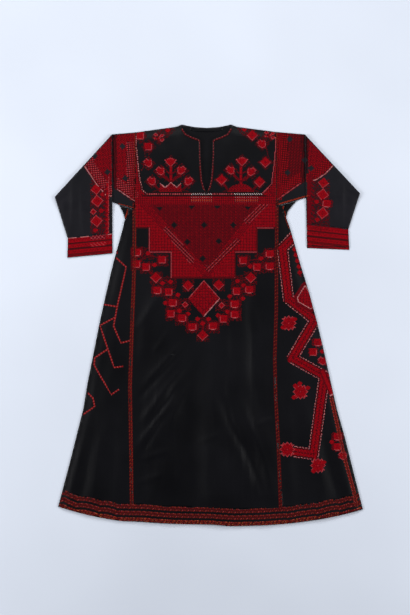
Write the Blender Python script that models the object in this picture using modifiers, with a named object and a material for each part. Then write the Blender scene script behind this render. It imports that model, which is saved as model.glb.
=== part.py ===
"""A long black embroidered dress, laid flat on its back with both sleeves folded down over its front.

Frame: +X to the right of the front, +Y towards the neck, +Z up from the surface it lies on. The origin is on that
surface, under the middle of the dress's outline. Every piece is cut and laid as a dressmaker would: the back is the
lowest layer, flat on the surface, and the front lies on it. Each sleeve is a flattened tube that turns over a slanting
fold and comes to rest on the surface beside the skirt.
"""

import math

import bmesh
import bpy
from mathutils import Matrix, Vector

# Cloth, in metres
CLOTH = 0.0012  # wall of one layer
INSIDE = 0.0008  # room between two layers that lie on each other
SEAM = 0.0003  # gap between pieces that are sewn together
LAID = 2 * CLOTH + INSIDE  # height of two layers
ROLL = LAID / 2  # radius of an edge where the front turns into the back, made of eighths of a turn
CORNER = ROLL * math.tan(math.pi / 8)  # cloth from the middle of that edge to its first corner
SECOND = 3 * CORNER  # and to its second corner
FLAT = ROLL - CORNER  # distance from the outline to the second corner

# Distances "down" run from the level of the neck points to the hem, and x from the centre front.
BODY_COLUMNS = ("down", "left_side", "left_seam", "right_seam", "right_side")
BODY = (
    (0.260, -0.3060, -0.2460, 0.2410, 0.3104),
    (0.276, -0.2994, -0.2460, 0.2410, 0.2960),
    (0.300, -0.2864, -0.2460, 0.2410, 0.2770),
    (0.321, -0.2795, -0.2470, 0.2410, 0.2735),
    (0.355, -0.2864, -0.2470, 0.2410, 0.2864),
    (0.410, -0.3001, -0.2470, 0.2405, 0.3030),
    (0.465, -0.3173, -0.2470, 0.2390, 0.3173),
    (0.526, -0.3310, -0.2490, 0.2390, 0.3379),
    (0.636, -0.3584, -0.2540, 0.2390, 0.3687),
    (0.746, -0.3790, -0.2590, 0.2350, 0.3962),
    (0.856, -0.4030, -0.2615, 0.2320, 0.4202),
    (0.966, -0.4200, -0.2630, 0.2400, 0.4442),
    (1.075, -0.4476, -0.2625, 0.2440, 0.4751),
    (1.185, -0.4751, -0.2590, 0.2475, 0.5025),
    (1.312, -0.5094, -0.2530, 0.2624, 0.5344),
)
ARMPIT = 0.284  # down to the first whole section of the skirt, at the centre front
HEM = 1.377  # down to the hem's lowest edge
HEM_BAND = 0.058  # height of the band sewn round the hem
HEM_RISE = 0.060  # how far the hem rises at HEM_REACH from HEM_MIDDLE
HEM_REACH = 0.515
HEM_MIDDLE = 0.029
HEM_CURVE = 2.6  # power of the hem's curve, flat in the middle and steep at the sides
HEM_LIFT = 0.006  # the left half of the hem lies this much higher than the right
SKIRT_ROWS = 9
UNDERARM_GAP = 0.0016  # room under the sleeve's seam, which the slanting wall of the gusset needs
GUSSET_END = 0.326  # down to the lower point of the underarm gussets
GUSSET_WIDTH = {"left": 0.033, "right": 0.040}  # of the half on the front, at the armpit
NARROW = 0.0035  # cloth from the outline to either end of the gusset's lower edge

# Shoulders and neck
ARMHOLE_TOP = {"left": (-0.242, 0.0274), "right": (0.238, 0.0260)}
NECK_WIDTH = 0.0825  # half the width between the neck points
SHOULDER_DROP = (0.022, 0.0086)  # the shoulder falls this much close to the neck, (across, down)
NECK_COLUMNS = ("half_width", "down", "armhole_share")
NECK = (
    (0.0000, 0.2320, 0.21),
    (0.0070, 0.2190, 0.27),
    (0.0140, 0.1930, 0.37),
    (0.0178, 0.1490, 0.53),
    (0.0200, 0.1050, 0.68),
    (0.0207, 0.0560, 0.80),
    (0.0260, 0.0500, 0.84),
    (0.0490, 0.0425, 0.88),
    (0.0700, 0.0325, 0.92),
    (0.0820, 0.0130, 0.97),
)
BACK_NECK = 0.012  # down to the middle of the back neck
BINDING = 0.0010  # wall of the binding along the neck and the slit
BINDING_WIDTH = 0.007
FACING = 0.0008  # wall of the facing inside the back neck
FACING_WIDTH = 0.014
FACING_REACH = 0.056
HALF_COLUMNS = (0.0, 0.14, 0.23, 0.32, 0.41, 0.50, 0.59, 0.68, 0.77, 0.86, 0.93, 1.0)
SIDE_STEPS = 7
BACK_STEPS = 3

# Sleeves, in the sleeve's own plane: u along its top edge from the armhole, v across it
SLEEVES = {
    "left": {
        "slope": math.radians(4.8),
        "fold_at": 0.077,
        "fold_angle": math.radians(42.7),
        "lower_edge": ((0.026, 0.262), (0.078, 0.243), (0.102, 0.229), (0.290, 0.199), (0.439, 0.153), (0.504, 0.155)),
        "cuff": ((0.420, 0.439), (0.490, 0.504)),
        "cuff_slip": 0.000,
    },
    "right": {
        "slope": math.radians(4.9),
        "fold_at": 0.0945,
        "fold_angle": math.radians(42.0),
        "lower_edge": ((0.024, 0.252), (0.092, 0.228), (0.118, 0.216), (0.302, 0.186), (0.427, 0.143), (0.489, 0.145)),
        "cuff": ((0.405, 0.427), (0.480, 0.489)),
        "cuff_slip": 0.009,
    },
}
FOLD_CENTRE = LAID + 0.0005  # height of the axis that a sleeve folds round
FOLD_MEAN = FOLD_CENTRE - LAID / 2  # radius of the fold at the middle of the layers
FOLD_STEPS = 6
SETTLE = 0.045  # length over which a folded sleeve comes down to the surface
SLEEVE_STEPS = 4
FOREARM_ROWS = 6
CUFF_ROWS = 2

# Soft folds that lie in the front, in metres
FOLD_COLUMNS = ("x0", "down0", "x1", "down1", "half_width", "height")
FOLDS = (
    (-0.090, 0.86, -0.120, 1.40, 0.048, 0.0020),
    (0.010, 0.80, 0.035, 1.42, 0.050, 0.0024),
    (0.095, 1.04, 0.205, 1.40, 0.044, 0.0025),
    (-0.120, 0.83, -0.205, 1.02, 0.038, 0.0016),
    (0.185, 0.72, 0.195, 0.98, 0.040, 0.0014),
    (-0.350, 1.02, -0.400, 1.40, 0.046, 0.0018),
    (0.360, 1.04, 0.410, 1.40, 0.046, 0.0018),
    (-0.190, 1.08, -0.210, 1.42, 0.040, 0.0018),
)
HIGHEST_FOLD = 0.0027
FLAT_EDGE = 0.025  # the folds die out over this distance from the outline

BLACK = (0.008, 0.008, 0.010, 1.0)
RED = (0.130, 0.006, 0.010, 1.0)
RUST = (0.075, 0.020, 0.015, 1.0)


def mix(a, b, share):
    return a + (b - a) * share


def between(a, b, share):
    return tuple(mix(p, q, share) for p, q in zip(a, b))


def blend(low, high, value):
    """0 below low, 1 above high, and a smooth step between them."""
    t = min(1.0, max(0.0, (value - low) / (high - low)))
    return t * t * (3 - 2 * t)


def on_line(table, value, key=0, column=1):
    """Value of a column where another column of a short table reaches a value, going straight on past its ends."""
    for upper, lower in zip(table, table[1:]):
        if value <= lower[key] or lower is table[-1]:
            return mix(upper[column], lower[column], (value - upper[key]) / (lower[key] - upper[key]))


def edge(column, down):
    """x of one of the body's long edges at a distance down."""
    return on_line(BODY, down, 0, BODY_COLUMNS.index(column))


def outward(side):
    return -1 if side == "left" else 1


def on_sleeve_plane(side, u, v):
    """(x, down) of a point of a sleeve that lies unfolded."""
    x, down = ARMHOLE_TOP[side]
    slope = SLEEVES[side]["slope"]
    across = u * math.cos(slope) - v * math.sin(slope)
    return x + outward(side) * across, down + u * math.sin(slope) + v * math.cos(slope)


ARMHOLE_FOOT = {side: on_sleeve_plane(side, *SLEEVES[side]["lower_edge"][0]) for side in SLEEVES}
UNDERARM = tuple(
    on_sleeve_plane(side, *SLEEVES[side]["lower_edge"][corner])
    for side, corner in (("left", 1), ("left", 0), ("right", 0), ("right", 1))
)


def hem_rise(x):
    lifted = HEM_LIFT * (1 - blend(0.015, 0.085, x)) * blend(-0.30, -0.22, x)
    return HEM_RISE * abs((x - HEM_MIDDLE) / HEM_REACH) ** HEM_CURVE + lifted


def section_down(level, x):
    """How far down a section of the skirt lies at x: along the underarm seams at the top, round at the hem."""
    near_armpit = 1 - blend(ARMPIT, 0.48, level)
    near_hem = blend(0.60, HEM - HEM_BAND, level)
    return level + (on_line(UNDERARM, x) - ARMPIT) * near_armpit - hem_rise(x) * near_hem


def rise(x, down):
    """Height of the front's soft folds above the layers that lie flat."""
    total = 0.0
    for x0, down0, x1, down1, width, height in FOLDS:
        length = math.hypot(x1 - x0, down1 - down0)
        along = ((x - x0) * (x1 - x0) + (down - down0) * (down1 - down0)) / length**2
        across = abs((x - x0) * (down1 - down0) - (down - down0) * (x1 - x0)) / length / width
        if across < 1:
            ends = blend(-0.10, 0.25, along) * (1 - blend(0.95, 1.15, along))
            total += height * (0.5 + 0.5 * math.cos(math.pi * across)) * ends
    room = min(x - edge("left_side", down), edge("right_side", down) - x)
    return min(total, HIGHEST_FOLD) * blend(0.0, FLAT_EDGE, room)


def place(x, down, height):
    return Vector((x, -down, height))


def outline(side, level):
    """(x, down) where a section of the skirt reaches the outline."""
    down = level
    for _ in range(5):
        x = edge(side + "_side", down)
        down = section_down(level, x)
    return x, down


def edge_profile(arc):
    """(distance from the outline, height) of a rolled edge at a length of cloth from its middle height."""
    length = abs(arc)
    slanting = min(max(length - CORNER, 0.0), SECOND - CORNER) / math.sqrt(2)
    lift = min(length, CORNER) + slanting
    return slanting + max(length - SECOND, 0.0), ROLL + (lift if arc > 0 else -lift)


def round_the_skirt(side, level, arc):
    """A point on the skirt's outer face at a length of cloth from the outline: above zero on the front, below on the
    back."""
    x, down = outline(side, level)
    inset, height = edge_profile(arc)
    x -= outward(side) * inset
    down = section_down(level, x)
    return place(x, down, height + (rise(x, down) if arc > SECOND else 0.0))


def arc_to_seam(side, level):
    """Length of cloth from the outline to a panel's edge at the long seam."""
    x, down = outline(side, level)
    seam = edge(side + "_seam", section_down(level, edge(side + "_seam", level)))
    return abs(x - seam) - FLAT + SECOND - SEAM / 2


def panel_arcs(start, end, steps):
    """Lengths of cloth across a side panel: its start, the corners of the rolled edge, then even steps to the long
    seam. Corners that the panel doesn't reach fall together with its start."""
    arcs = [start] + [max(corner, start) for corner in (CORNER, SECOND)]
    return arcs + [mix(arcs[-1], end, k / steps) for k in range(1, steps + 1)]


def centre_point(level, share, height=None):
    """A point of the centre panels below the armpits, share running from the left long seam to the right one."""
    down = level
    for _ in range(3):
        left, right = edge("left_seam", down) + SEAM / 2, edge("right_seam", down) - SEAM / 2
        x = mix(left, right, share)
        down = section_down(level, x)
    return place(x, down, LAID + rise(x, down) if height is None else height)


def skirt_levels():
    """Levels of the skirt's sections, from the armpits to the top of the hem band."""
    first, last = 0.365, HEM - HEM_BAND - SEAM / 2
    return gusset_levels() + [GUSSET_END + 0.008] + [mix(first, last, k / SKIRT_ROWS) for k in range(SKIRT_ROWS + 1)]


def gusset_levels():
    return [ARMPIT + UNDERARM_GAP, 0.298, 0.312, GUSSET_END]


def shoulder(side, x):
    """How far down the shoulder's top edge lies at x."""
    end_x, end_down = ARMHOLE_TOP[side]
    across, drop = SHOULDER_DROP
    return on_line(((NECK_WIDTH, 0.0), (NECK_WIDTH + across, drop), (abs(end_x), end_down)), abs(x))


def armhole(side, share):
    """(x, down) along an armhole from its foot to its top, drawn in by half a seam."""
    x, down = between(ARMHOLE_FOOT[side], ARMHOLE_TOP[side], share)
    return x - outward(side) * SEAM / 2, down


def shoulder_roll(row, front):
    """Rows that carry a shoulder's top edge half way round, from a row laid FLAT below it."""
    rows = [row]
    for arc in (CORNER, SEAM / 2):
        inset, height = edge_profile(arc if front else -arc)
        rows.append([Vector((p.x, p.y + FLAT - inset, height)) for p in row])
    return rows


def fabric(name, colour, roughness):
    material = bpy.data.materials.new(name)
    material.use_nodes = True
    shader = material.node_tree.nodes["Principled BSDF"]
    shader.inputs["Base Color"].default_value = colour
    shader.inputs["Roughness"].default_value = roughness
    shader.inputs["Metallic"].default_value = 0.0
    return material


def sheet(name, grids, material, front=True, ring=False, left_out=(), wall=CLOTH):
    """A piece of cloth through rows of points on its outer face, given its wall inwards by a Solidify modifier."""
    bm = bmesh.new()
    for rows in grids:
        verts = [[bm.verts.new(point) for point in row] for row in rows]
        width = len(rows[0])
        for i in range(len(rows) - 1):
            for j in range(width if ring else width - 1):
                if (i, j) not in left_out:
                    k = (j + 1) % width
                    bm.faces.new((verts[i][j], verts[i][k], verts[i + 1][k], verts[i + 1][j]))
    bmesh.ops.remove_doubles(bm, verts=bm.verts, dist=0.00001)
    loose = [v for v in bm.verts if not v.link_faces]
    bmesh.ops.delete(bm, geom=loose, context="VERTS")
    bmesh.ops.recalc_face_normals(bm, faces=bm.faces)
    bm.normal_update()
    sign = 1 if front else -1
    outermost = max(bm.faces, key=lambda f: sign * f.calc_center_median().z + abs(f.normal.z))
    if outermost.normal.z * sign < 0:
        bmesh.ops.reverse_faces(bm, faces=bm.faces)
    mesh = bpy.data.meshes.new(name)
    bm.to_mesh(mesh)
    bm.free()
    mesh.materials.append(material)
    obj = bpy.data.objects.new(name, mesh)
    DRESS.objects.link(obj)
    obj.parent = ROOT
    solidify = obj.modifiers.new("cloth", "SOLIDIFY")
    solidify.thickness = wall
    solidify.offset = -1
    return obj


def front_panel():
    """The centre front: whole below the slit, in two halves beside the slit and neckline, rolled at the shoulders."""
    shares = [-s for s in reversed(HALF_COLUMNS[1:])] + list(HALF_COLUMNS)
    lower = []
    for level in reversed(skirt_levels()[1:]):
        lower.append([centre_point(level, 0.5 + s / 2) for s in shares])
    lower.append([place(*between(armhole("left", 0), armhole("right", 0), 0.5 + s / 2), LAID) for s in shares])
    halves = []
    for side in ("left", "right"):
        rows = []
        for half_width, down, share in NECK:
            neck = (outward(side) * half_width, down)
            rows.append([place(*between(neck, armhole(side, share), s), LAID) for s in HALF_COLUMNS])
        end = armhole(side, 1)[0]
        top = [mix(outward(side) * NECK_WIDTH, end, s) for s in HALF_COLUMNS]
        last = [place(x, shoulder(side, x) + FLAT, LAID) for x in top]
        halves.append(rows + shoulder_roll(last, True))
    first = halves[0][0][:0:-1] + halves[1][0]
    foot = lower[-1]
    middle = [[p.lerp(q, k / 3) for p, q in zip(foot, first)] for k in (1, 2, 3)]
    sheet("front_panel", [lower + middle, halves[0], halves[1]], BLACK_CLOTH)


def back_top(x):
    """How far down the upper edge of the back's flat part lies at x."""
    side = "left" if x < 0 else "right"
    if abs(x) >= NECK_WIDTH:
        return shoulder(side, x) + FLAT
    return mix(BACK_NECK, FLAT, (x / NECK_WIDTH) ** 2)


def back_columns():
    """x of the back panel's columns at the shoulders, with one at each neck point."""
    left, right = armhole("left", 1)[0], armhole("right", 1)[0]
    steps = (HALF_COLUMNS[1], HALF_COLUMNS[5], 1.0)
    across = [mix(-NECK_WIDTH, left, s) for s in reversed(steps)]
    across += [-NECK_WIDTH, -NECK_WIDTH / 2, 0.0, NECK_WIDTH / 2, NECK_WIDTH]
    return across + [mix(NECK_WIDTH, right, s) for s in steps]


def back_shares():
    across = back_columns()
    return [(x - across[0]) / (across[-1] - across[0]) for x in across]


def back_panel():
    """The centre back, flat on the surface, rolled up at the shoulders to meet the front."""
    rows = []
    for level in reversed(skirt_levels()[1:]):
        rows.append([centre_point(level, s, 0.0) for s in back_shares()])
    for a in (0.0, 0.35, 0.7, 1.0):
        row = []
        for s in back_shares():
            x = mix(armhole("left", a)[0], armhole("right", a)[0], s)
            row.append(place(x, mix(on_line(UNDERARM, x), back_top(x), a), 0.0))
        rows.append(row)
    sheet("back_panel", [rows, shoulder_roll(rows[-1][:4], False), shoulder_roll(rows[-1][-4:], False)], BLACK_CLOTH, front=False)


def gusset_reach(side, level):
    """Length of cloth from the outline to the seam between a gusset and its side panel."""
    return mix(GUSSET_WIDTH[side], NARROW, (level - ARMPIT) / (GUSSET_END - ARMPIT))


def side_start(side, level):
    """Where the side panels begin: at the gusset, or below it at the seam between them on the outline."""
    return (gusset_reach(side, level) if level <= GUSSET_END else 0.0) + SEAM / 2


def side_panels(side):
    """The front and back side panels of the skirt, narrow at the armpit and wide at the hem."""
    fronts, backs = [], []
    for level in skirt_levels():
        start, far = side_start(side, level), arc_to_seam(side, level)
        fronts.append([round_the_skirt(side, level, arc) for arc in panel_arcs(start, far, SIDE_STEPS)])
        backs.append([round_the_skirt(side, level, -arc) for arc in panel_arcs(start, far, BACK_STEPS)])
    sheet("side_front_" + side, [fronts], BLACK_CLOTH)
    sheet("side_back_" + side, [backs], BLACK_CLOTH, front=False)


def gusset(side):
    """The underarm gusset: half of it a small triangle on the front, and the other half under it on the back."""
    rows = []
    for level in gusset_levels():
        reach = gusset_reach(side, level) - SEAM / 2
        half = [reach, SECOND, CORNER]
        rows.append([round_the_skirt(side, level, arc) for arc in half + [-arc for arc in reversed(half)]])
    sheet("gusset_" + side, [rows], BLACK_CLOTH)


def fold_distance(side, u, v):
    """Distance of a point of the sleeve's plane past the line where its fold starts."""
    sleeve = SLEEVES[side]
    angle = sleeve["fold_angle"]
    return (u - sleeve["fold_at"]) * math.sin(angle) - v * math.cos(angle)


def folded(side, u, v, w):
    """Place of a point of the laid sleeve, w above its underside, after the sleeve is turned over its fold."""
    sleeve = SLEEVES[side]
    angle = sleeve["fold_angle"]
    distance = fold_distance(side, u, v)
    turn = min(math.pi, max(0.0, distance / FOLD_MEAN))
    radius = FOLD_CENTRE - w
    if turn <= 0:
        moved, height = distance, w
    elif turn < math.pi:
        moved, height = radius * math.sin(turn), FOLD_CENTRE - radius * math.cos(turn)
    else:
        moved, height = math.pi * FOLD_MEAN - distance, FOLD_CENTRE + radius
    u += (moved - distance) * math.sin(angle)
    v -= (moved - distance) * math.cos(angle)
    x, down = on_sleeve_plane(side, u, v)
    near, far = (on_sleeve_plane(side, *sleeve["lower_edge"][k]) for k in (2, 3))
    below = down - mix(near[1], far[1], (x - near[0]) / (far[0] - near[0]))
    height -= (2 * FOLD_CENTRE - LAID) * blend(0.002, SETTLE, below) * turn / math.pi
    return place(x, down, height)


def sleeve_ring(side, top_u, low, sewn=False, slip=0.0):
    """A section round the flattened sleeve, from its top edge to a point of its lower edge. Where it is sewn to the
    body its layers stay flat to the lower edge; slip lets the front layer reach further at the sleeve's end."""
    low_u, low_v = low
    length = math.hypot(low_u - top_u, low_v)
    roll = [(0.0, CORNER), (FLAT, ROLL)]
    middle = [(mix(FLAT, length - FLAT, k / SLEEVE_STEPS), ROLL) for k in range(1, SLEEVE_STEPS)]
    if sewn:
        end = [(length - SEAM / 2 - 0.001, ROLL), (length - SEAM / 2, ROLL)]
    else:
        end = [(length - distance, lift) for distance, lift in reversed(roll)]
    half = roll + middle + end
    points = []
    for face, run in ((1, half), (-1, half[::-1])):
        for distance, lift in run:
            share = distance / length
            w = ROLL + face * lift
            u = mix(top_u, low_u, share) + slip * w / LAID
            points.append(folded(side, u, low_v * share, w))
    return points


def lower_edge(side, u):
    return (u, on_line(SLEEVES[side]["lower_edge"], u))


def meets_lower_edge(side, distance):
    """Point of the sleeve's lower edge at a distance past the start of the fold."""
    table = [(fold_distance(side, u, v), u, v) for u, v in SLEEVES[side]["lower_edge"]]
    return on_line(table, distance, 0, 1), on_line(table, distance, 0, 2)


def sleeve(side):
    """The sleeve from its armhole to the cuff, with the slanting fold in it."""
    spec = SLEEVES[side]
    fold_at = spec["fold_at"]
    corners = spec["lower_edge"]
    start = meets_lower_edge(side, 0.0)
    lows = [corners[0], between(corners[0], corners[1], 0.5), corners[1], between(corners[1], corners[2], 0.2)]
    lows += [corners[2], between(corners[2], start, 0.33), between(corners[2], start, 0.66)]
    rings = []
    for k, low in enumerate(lows):
        top = fold_at * k / len(lows) + (SEAM / 2 if k == 0 else 0.0)
        rings.append(sleeve_ring(side, top, low, sewn=k < 3))
    for k in range(FOLD_STEPS + 1):
        distance = math.pi * FOLD_MEAN * k / FOLD_STEPS
        top = fold_at + distance / math.sin(spec["fold_angle"])
        rings.append(sleeve_ring(side, top, meets_lower_edge(side, distance)))
    low = meets_lower_edge(side, distance)
    cuff_top, cuff_low = spec["cuff"][0]
    for k in range(1, FOREARM_ROWS + 1):
        share = k / FOREARM_ROWS
        end = lower_edge(side, mix(low[0], cuff_low - SEAM / 2, share))
        rings.append(sleeve_ring(side, mix(top, cuff_top - SEAM / 2, share), end))
    closing = len(rings[0]) // 2 - 1
    sheet("sleeve_" + side, [rings], BLACK_CLOTH, ring=True, left_out={(0, closing), (1, closing), (2, closing)})


def cuff(side):
    """The embroidered cuff, a flattened ring sewn to the end of the sleeve."""
    (top, low), (top_end, low_end) = SLEEVES[side]["cuff"]
    rings = []
    for k in range(CUFF_ROWS + 1):
        share = k / CUFF_ROWS
        end = lower_edge(side, mix(low + SEAM / 2, low_end, share))
        slip = SLEEVES[side]["cuff_slip"] * share
        rings.append(sleeve_ring(side, mix(top + SEAM / 2, top_end, share), end, slip=slip))
    sheet("cuff_" + side, [rings], RED_STITCH, ring=True)


def hem_columns(side, steps):
    """Lengths of cloth across the hem band's sides, with the same steps as the side panel above."""
    level = HEM - HEM_BAND - SEAM / 2
    return panel_arcs(CORNER, arc_to_seam(side, level), steps)[1:]


def hem_band():
    """The stitched band round the hem, one flattened ring."""
    shares = [0.5 - s / 2 for s in reversed(HALF_COLUMNS[1:])] + [0.5 + s / 2 for s in HALF_COLUMNS]
    columns = {(side, steps): hem_columns(side, steps) for side in SLEEVES for steps in (SIDE_STEPS, BACK_STEPS)}
    rings = []
    for level in (HEM - HEM_BAND + SEAM / 2, HEM - HEM_BAND / 2, HEM):
        ring = [round_the_skirt("left", level, arc) for arc in columns["left", SIDE_STEPS]]
        ring += [centre_point(level, s) for s in shares[1:-1]]
        ring += [round_the_skirt("right", level, arc) for arc in reversed(columns["right", SIDE_STEPS])]
        ring += [round_the_skirt("right", level, -arc) for arc in columns["right", BACK_STEPS]]
        ring += [centre_point(level, s, 0.0) for s in reversed(back_shares()[1:-1])]
        ring += [round_the_skirt("left", level, -arc) for arc in reversed(columns["left", BACK_STEPS])]
        rings.append(ring)
    sheet("hem_band", [rings], RUST_STITCH, ring=True)


def neck_binding():
    """The binding along the neckline and both edges of the slit, on the front panel."""
    path = [(-half_width, down) for half_width, down, _ in reversed(NECK[1:])]
    path += [(half_width, down) for half_width, down, _ in NECK]
    height = LAID + SEAM + BINDING
    rows = []
    for k, (x, down) in enumerate(path):
        before, after = path[max(k - 1, 0)], path[min(k + 1, len(path) - 1)]
        along_x, along_down = after[0] - before[0], after[1] - before[1]
        length = math.hypot(along_x, along_down)
        out = (-along_down / length * BINDING_WIDTH, along_x / length * BINDING_WIDTH)
        rows.append([place(x, down, height), place(x + out[0], down + out[1], height)])
    sheet("neck_binding", [rows], RUST_STITCH, wall=BINDING)


def neck_facing():
    """The facing inside the back neck, seen through the neckline."""
    height = CLOTH + SEAM + FACING
    rows = []
    for k in range(9):
        x = FACING_REACH * (k / 4 - 1)
        rows.append([place(x, back_top(x) + 0.001, height), place(x, back_top(x) + FACING_WIDTH, height)])
    sheet("neck_facing", [rows], BLACK_CLOTH, wall=FACING)


def centre_on_origin():
    """Moves every piece so that the middle of the dress's outline is over the origin."""
    points = [v.co for obj in DRESS.objects if obj.type == "MESH" for v in obj.data.vertices]
    middle_x = (min(p.x for p in points) + max(p.x for p in points)) / 2
    middle_y = (min(p.y for p in points) + max(p.y for p in points)) / 2
    print("moved by", round(-middle_x, 5), round(-middle_y, 5))
    for obj in DRESS.objects:
        if obj.type == "MESH":
            obj.data.transform(Matrix.Translation((-middle_x, -middle_y, 0.0)))


for old in list(bpy.data.objects):
    bpy.data.objects.remove(old)
DRESS = bpy.data.collections.new("dress")
bpy.context.scene.collection.children.link(DRESS)
ROOT = bpy.data.objects.new("laid_dress", None)
DRESS.objects.link(ROOT)
BLACK_CLOTH = fabric("black_cotton", BLACK, 0.75)
RED_STITCH = fabric("red_cross_stitch", RED, 0.85)
RUST_STITCH = fabric("rust_stitched_band", RUST, 0.85)

front_panel()
back_panel()
for which in SLEEVES:
    side_panels(which)
    gusset(which)
    sleeve(which)
    cuff(which)
hem_band()
neck_binding()
neck_facing()
centre_on_origin()
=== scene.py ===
# %% [markdown]
# # A Palestinian embroidered dress, laid flat
#
# The dress is cut from black cotton satin in straight strips: one long front, one long back, two
# slanting side pieces at each side, wide sleeves with a small underarm gusset, and a stitched band
# round the hem.
# Its shape is in the cloth, and its richness is in the counted stitches on the chest, shoulders,
# cuffs and side pieces.
# This lesson first turns the plain solids of the frame into cloth with soft creases, then works the
# embroidery on it stitch by stitch from charts, and last lays it on a pale floor in soft light.

# %% Load the frame
import math
import random

import bmesh
import bpy
import numpy as np
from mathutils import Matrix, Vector
from mathutils.bvhtree import BVHTree
from mathutils.kdtree import KDTree


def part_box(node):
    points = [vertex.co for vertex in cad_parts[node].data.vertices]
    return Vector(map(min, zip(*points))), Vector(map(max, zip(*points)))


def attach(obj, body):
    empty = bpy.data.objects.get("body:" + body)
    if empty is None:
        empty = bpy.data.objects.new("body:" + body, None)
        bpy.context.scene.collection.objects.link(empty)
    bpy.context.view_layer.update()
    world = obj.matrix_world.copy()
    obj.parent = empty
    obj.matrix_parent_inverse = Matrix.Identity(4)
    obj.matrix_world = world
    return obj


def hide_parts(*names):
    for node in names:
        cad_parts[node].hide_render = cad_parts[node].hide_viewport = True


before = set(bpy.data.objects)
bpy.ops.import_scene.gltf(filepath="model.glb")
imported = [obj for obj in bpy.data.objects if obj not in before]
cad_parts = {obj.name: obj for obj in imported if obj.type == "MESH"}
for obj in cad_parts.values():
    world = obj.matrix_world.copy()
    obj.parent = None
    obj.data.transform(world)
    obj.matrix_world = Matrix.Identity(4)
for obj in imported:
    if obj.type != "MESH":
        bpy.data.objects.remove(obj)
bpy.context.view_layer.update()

random.seed(11)
print("nodes in the frame:", sorted(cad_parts))

# %% [markdown]
# ## A tailor's way to say where things are
#
# A tailor measures a dress across from the centre front and down from the neck points.
# Every place below is given so, in millimetres, with the wearer's right side, which is on the left
# as one looks at the dress, as minus.
# Two boxes of the frame turn these into the frame's metres: the neck binding is even about the
# centre front, and the top of the back is the level of the neck points.

# %% Dress measures to frame metres
MM = 0.001
binding_low, binding_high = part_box("neck_binding")
centre_front = (binding_low.x + binding_high.x) / 2
neck_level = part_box("back_panel")[1].y


def to_frame(across, down):
    return centre_front + across * MM, neck_level - down * MM


def to_dress(x, y):
    return (x - centre_front) / MM, (neck_level - y) / MM


def linked(name, data):
    holder = bpy.data.objects.new(name, data)
    bpy.context.scene.collection.objects.link(holder)
    return holder


print("centre front at", round(centre_front, 4), "and neck level at", round(neck_level, 4))

# %% [markdown]
# ## Black cotton satin
#
# The satin is nearly black with a cool cast, and a soft sheen where a crease turns to the light.
# A fine weave of warp and weft comes from two waves at right angles, and a slow noise makes the colour
# uneven in broad patches: partly uneven dye, partly painted sheen and shade for the satin's changing
# shine.
# The sleeves get a lighter satin than the body: a painted sheen that stands for the soft highlights lying
# on them.

# %% Cloth materials
WEAVE = 70.0  # scale of the weave's waves
RIB_DEPTH = 0.0004  # in metres
RAMP_START, RAMP_END = 0.32, 0.68  # where the noise turns from the dark colour to the light one


def linear(colour):
    parts = [part / 255 for part in colour]
    return tuple(p / 12.92 if p < 0.04045 else ((p + 0.055) / 1.055) ** 2.4 for p in parts) + (1.0,)


def new_material(name, roughness, sheen, shine=0.04):
    material = bpy.data.materials.new(name)
    material.use_nodes = True
    shader = material.node_tree.nodes["Principled BSDF"]
    shader.inputs["Roughness"].default_value = roughness
    shader.inputs["Sheen Weight"].default_value = sheen
    shader.inputs["Sheen Roughness"].default_value = 0.45
    shader.inputs["Specular IOR Level"].default_value = shine
    return material, shader


def mottled(material, shader, dark, light, scale, detail):
    nodes, links = material.node_tree.nodes, material.node_tree.links
    place = nodes.new("ShaderNodeTexCoord")
    noise = nodes.new("ShaderNodeTexNoise")
    noise.inputs["Scale"].default_value = scale
    noise.inputs["Detail"].default_value = detail
    ramp = nodes.new("ShaderNodeValToRGB")
    ramp.color_ramp.elements[0].position = RAMP_START
    ramp.color_ramp.elements[0].color = linear(dark)
    ramp.color_ramp.elements[1].position = RAMP_END
    ramp.color_ramp.elements[1].color = linear(light)
    links.new(place.outputs["Object"], noise.inputs["Vector"])
    links.new(noise.outputs["Fac"], ramp.inputs["Fac"])
    links.new(ramp.outputs["Color"], shader.inputs["Base Color"])
    return place


def satin(name, dark, light):
    material, shader = new_material(name, roughness=0.46, sheen=0.02, shine=0.13)
    nodes, links = material.node_tree.nodes, material.node_tree.links
    # painted sheen and shade: this slow noise's broad light and dark patches stand partly for the satin's
    # changing shine, partly for uneven dye
    place = mottled(material, shader, dark, light, scale=4.0, detail=4.0)
    earlier = None
    for direction in ("X", "Y"):
        rib = nodes.new("ShaderNodeTexWave")
        rib.bands_direction = direction
        rib.inputs["Scale"].default_value = WEAVE
        rib.inputs["Distortion"].default_value = 1.2
        links.new(place.outputs["Object"], rib.inputs["Vector"])
        bump = nodes.new("ShaderNodeBump")
        bump.inputs["Strength"].default_value = 0.10
        bump.inputs["Distance"].default_value = RIB_DEPTH
        links.new(rib.outputs["Fac"], bump.inputs["Height"])
        if earlier is not None:
            links.new(earlier.outputs["Normal"], bump.inputs["Normal"])
        earlier = bump
    links.new(earlier.outputs["Normal"], shader.inputs["Normal"])
    return material


body_satin = satin("black_satin", (0, 0, 2), (7, 7, 11))
# painted sheen: the sleeves' satin is lighter than the body's to stand for the soft highlights on them
sleeve_satin = satin("sleeve_satin_painted_sheen", (9, 9, 13), (20, 19, 24))
print("cloth materials:", body_satin.name, sleeve_satin.name)
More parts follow.
